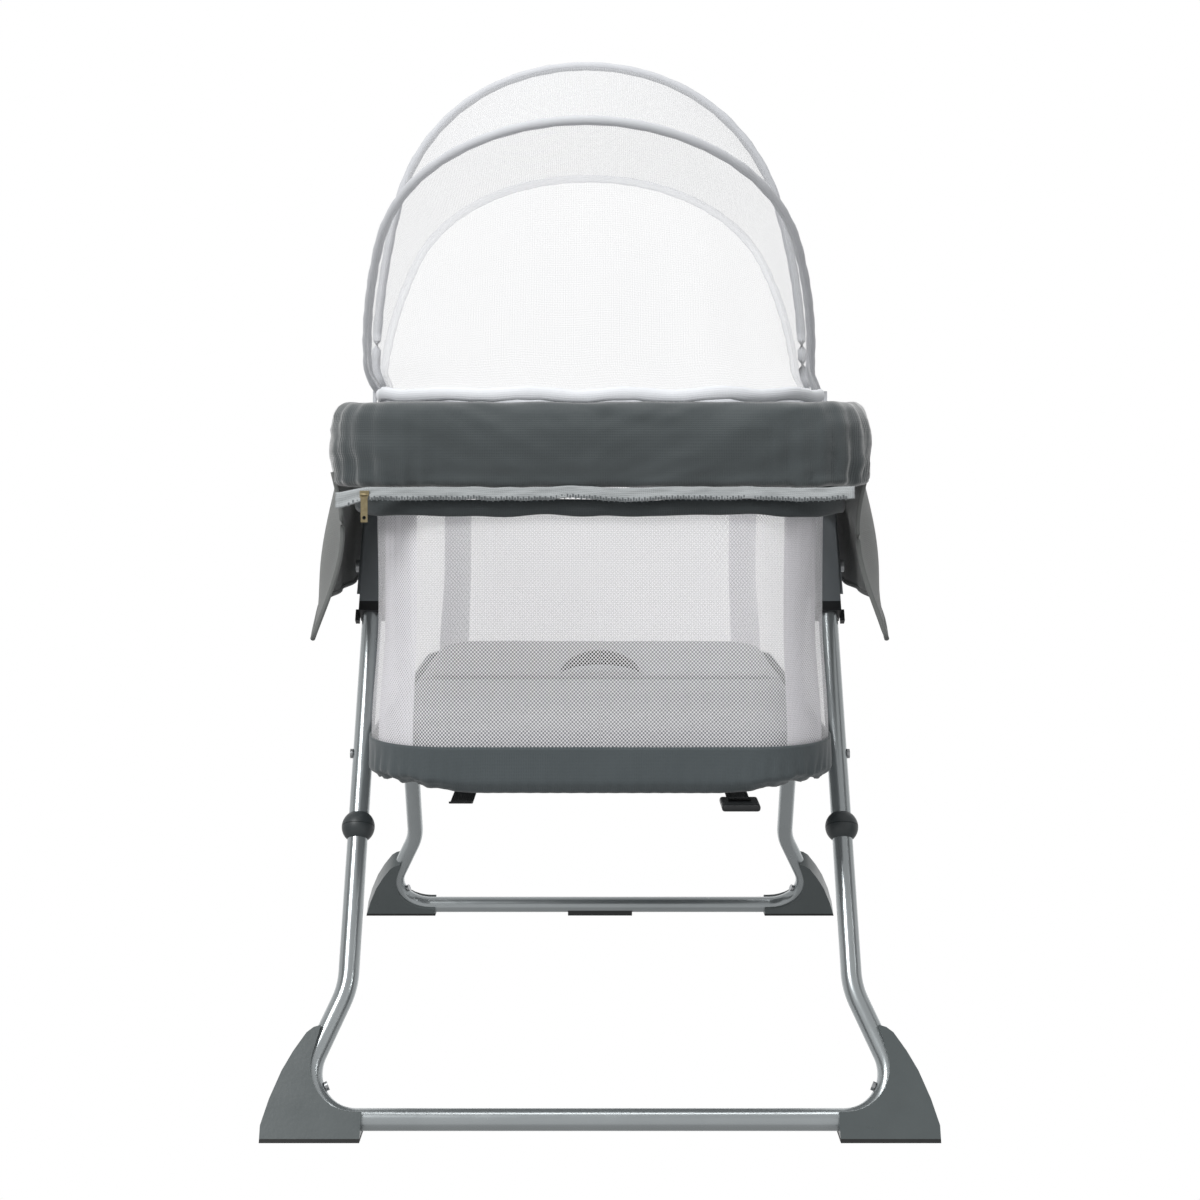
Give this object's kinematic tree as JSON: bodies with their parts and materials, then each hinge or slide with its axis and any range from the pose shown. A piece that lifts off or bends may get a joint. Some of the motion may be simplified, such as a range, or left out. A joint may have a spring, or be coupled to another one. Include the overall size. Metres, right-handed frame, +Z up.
{
  "type": "folding bassinet on stand",
  "caption": "Folding bassinet: zipped mesh basket with padded rim, net canopy on folding hoops, and a tube stand whose two floor frames fold under it.",
  "frame": {"origin": "on the floor under the middle of the bed", "axes": "+Z up, Y along the bed with the zip pull at the -Y end, X across it"},
  "size_m": [0.59, 0.815, 1.0064],
  "materials": {
    "tube_steel": "glossy silver-grey powder coat",
    "bracket_steel": "satin grey powder coat",
    "fastener_steel": "zinc plated",
    "zip_metal": "aged brass plate",
    "ball_plastic": "fine moulded grain",
    "foot_plastic": "satin moulded",
    "black_plastic": "moulded",
    "sole_rubber": "moulded",
    "cover_fabric": "charcoal woven polyester",
    "flap_fabric": "grey woven polyester",
    "mesh_fabric": "white knitted mesh",
    "net_fabric": "sheer white net",
    "sleeve_fabric": "white hoop sleeve",
    "zip_fabric": "pale zip tape",
    "mattress_fabric": "pale grey polyester",
    "webbing": "black webbing",
    "board_wood": "hardboard"
  },
  "bodies": {
    "basket": {"rim_tube": "tube_steel", "side_bracket_left": "bracket_steel", "side_bracket_right": "bracket_steel", "upper_leg_near_left": "tube_steel", "upper_leg_near_right": "tube_steel", "upper_leg_far_left": "tube_steel", "upper_leg_far_right": "tube_steel", "ball_cap_near_left": "ball_plastic", "ball_cap_near_right": "ball_plastic", "ball_cap_far_left": "ball_plastic", "ball_cap_far_right": "ball_plastic", "folding_pins_near": "fastener_steel", "folding_pins_far": "fastener_steel", "leg_collars_left": "black_plastic", "leg_collars_right": "black_plastic", "pivot_bolts_left": "fastener_steel", "pivot_bolts_right": "fastener_steel", "leg_rivets": "fastener_steel", "rim_cover": "cover_fabric", "side_flap_left": "flap_fabric", "side_flap_right": "flap_fabric", "mesh_wall": "mesh_fabric", "hem_band": "cover_fabric", "zip_tape": "zip_fabric", "base_band": "cover_fabric", "base_floor": "cover_fabric", "floor_strap": "webbing", "strap_buckle": "black_plastic", "board_far": "board_wood", "mattress_far": "mattress_fabric", "pull_strap": "webbing"},
    "near_stand": {"floor_frame_near": "tube_steel", "foot_near_left": "foot_plastic", "foot_near_right": "foot_plastic", "foot_soles_near": "sole_rubber", "foot_screws_near": "fastener_steel", "ball_socket_near_left": "ball_plastic", "ball_socket_near_right": "ball_plastic"},
    "far_stand": {"floor_frame_far": "tube_steel", "foot_far_left": "foot_plastic", "foot_far_right": "foot_plastic", "foot_soles_far": "sole_rubber", "foot_screws_far": "fastener_steel", "ball_socket_far_left": "ball_plastic", "ball_socket_far_right": "ball_plastic", "bar_glide": "black_plastic"},
    "canopy": {"mid_hoop": "sleeve_fabric", "hoop_clips": "black_plastic", "net_band_near": "net_fabric", "net_band_far": "net_fabric"},
    "near_bow": {"near_hoop": "sleeve_fabric", "net_skirt_near": "net_fabric"},
    "far_bow": {"far_hoop": "sleeve_fabric", "net_skirt_far": "net_fabric"},
    "near_pad": {"board_near": "board_wood", "mattress_near": "mattress_fabric"},
    "slider": {"zip_slider": "zip_metal"},
    "pull": {"zip_pull": "zip_metal"}
  },
  "joints": [
    {"name": "near_stand_fold", "type": "hinge", "parent": "basket", "child": "near_stand", "pos_m": [0, -0.24093, 0.23542], "axis": [1, 0, 0], "range_deg": [0, 125]},
    {"name": "far_stand_fold", "type": "hinge", "parent": "basket", "child": "far_stand", "pos_m": [0, 0.24093, 0.23542], "axis": [-1, 0, 0], "range_deg": [0, 105]},
    {"name": "canopy_lift", "type": "slide", "parent": "basket", "child": "canopy", "axis": [0, 0, 1], "range_m": [0, 0.12]},
    {"name": "near_bow_fold", "type": "hinge", "parent": "canopy", "child": "near_bow", "pos_m": [0, 0, 0.65], "axis": [-1, 0, 0], "range_deg": [0, 38], "deforming": ["net_band_near"]},
    {"name": "far_bow_fold", "type": "hinge", "parent": "canopy", "child": "far_bow", "pos_m": [0, 0, 0.65], "axis": [1, 0, 0], "range_deg": [0, 37], "deforming": ["net_band_far"]},
    {"name": "mattress_fold", "type": "hinge", "parent": "basket", "child": "near_pad", "pos_m": [0, 0, 0.352], "axis": [-1, 0, 0], "range_deg": [0, 42]},
    {"name": "zip_slide", "type": "slide", "parent": "basket", "child": "slider", "axis": [1, 0, 0], "range_m": [0, 0.41]},
    {"name": "zip_pull_swing", "type": "hinge", "parent": "slider", "child": "pull", "pos_m": [-0.205, -0.3963, 0.5595], "axis": [-1, 0, 0], "range_deg": [0, 110]}
  ]
}
